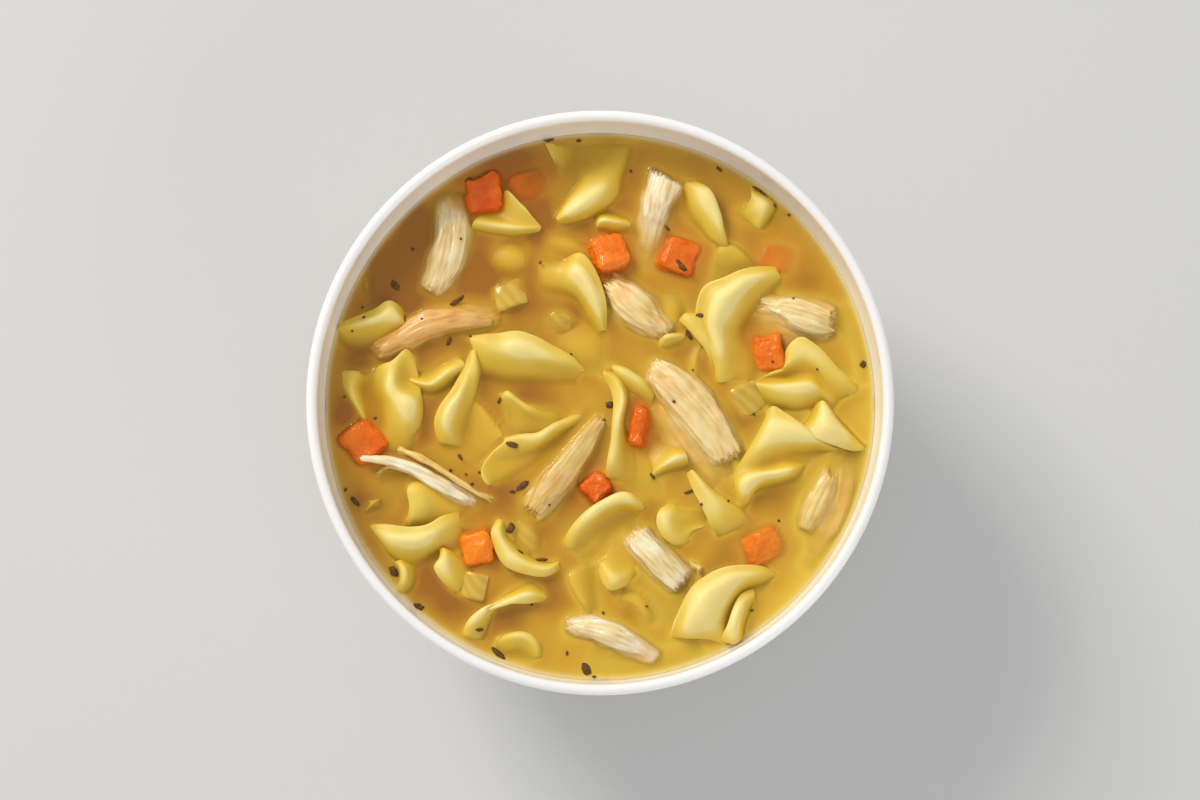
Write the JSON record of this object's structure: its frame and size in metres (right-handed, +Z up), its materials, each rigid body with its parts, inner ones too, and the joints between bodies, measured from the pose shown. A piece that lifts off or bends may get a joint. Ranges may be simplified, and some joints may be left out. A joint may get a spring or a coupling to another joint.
{
  "type": "bowl of chicken noodle soup",
  "caption": "White porcelain bowl of chicken noodle soup with wide egg noodles, torn chicken, diced carrot and celery in golden broth",
  "frame": {"origin": "the middle of the bowl's foot, on the surface that it stands on", "axes": "+Z is up through the middle of the bowl, +Y points to the far side as it is set before a person, and +X to the right"},
  "size_m": [0.15, 0.15, 0.062],
  "materials": {
    "porcelain": "glazed porcelain, glossy",
    "broth": "wet and clear, like golden stock",
    "egg_noodle": "wet, soft pasta",
    "chicken": "moist, fibrous meat",
    "carrot": "wet, cooked",
    "celery": "wet, half clear"
  },
  "bodies": {
    "root": {"bowl": "porcelain", "broth": "broth", "carrot_01": "carrot", "carrot_02": "carrot", "carrot_03": "carrot", "carrot_04": "carrot", "carrot_05": "carrot", "carrot_06": "carrot", "carrot_07": "carrot", "carrot_08": "carrot", "carrot_09": "carrot", "celery_01": "celery", "celery_02": "celery", "celery_03": "celery", "chicken_01": "chicken", "chicken_02": "chicken", "chicken_03": "chicken", "chicken_04": "chicken", "chicken_05": "chicken", "chicken_06": "chicken", "chicken_07": "chicken", "chicken_08": "chicken", "chicken_09": "chicken", "chicken_10": "chicken", "chicken_11": "chicken", "noodle_01": "egg_noodle", "noodle_02": "egg_noodle", "noodle_03": "egg_noodle", "noodle_04": "egg_noodle", "noodle_05": "egg_noodle", "noodle_06": "egg_noodle", "noodle_07": "egg_noodle", "noodle_08": "egg_noodle", "noodle_09": "egg_noodle", "noodle_10": "egg_noodle", "noodle_11": "egg_noodle", "noodle_12": "egg_noodle", "noodle_13": "egg_noodle", "noodle_14": "egg_noodle", "noodle_15": "egg_noodle", "noodle_16": "egg_noodle", "noodle_17": "egg_noodle", "noodle_18": "egg_noodle", "noodle_19": "egg_noodle", "noodle_20": "egg_noodle", "noodle_21": "egg_noodle", "noodle_22": "egg_noodle", "noodle_23": "egg_noodle", "noodle_24": "egg_noodle", "noodle_25": "egg_noodle", "noodle_26": "egg_noodle", "noodle_27": "egg_noodle", "noodle_28": "egg_noodle", "noodle_29": "egg_noodle", "noodle_30": "egg_noodle", "noodle_31": "egg_noodle", "noodle_32": "egg_noodle", "noodle_33": "egg_noodle", "noodle_34": "egg_noodle"}
  },
  "joints": []
}
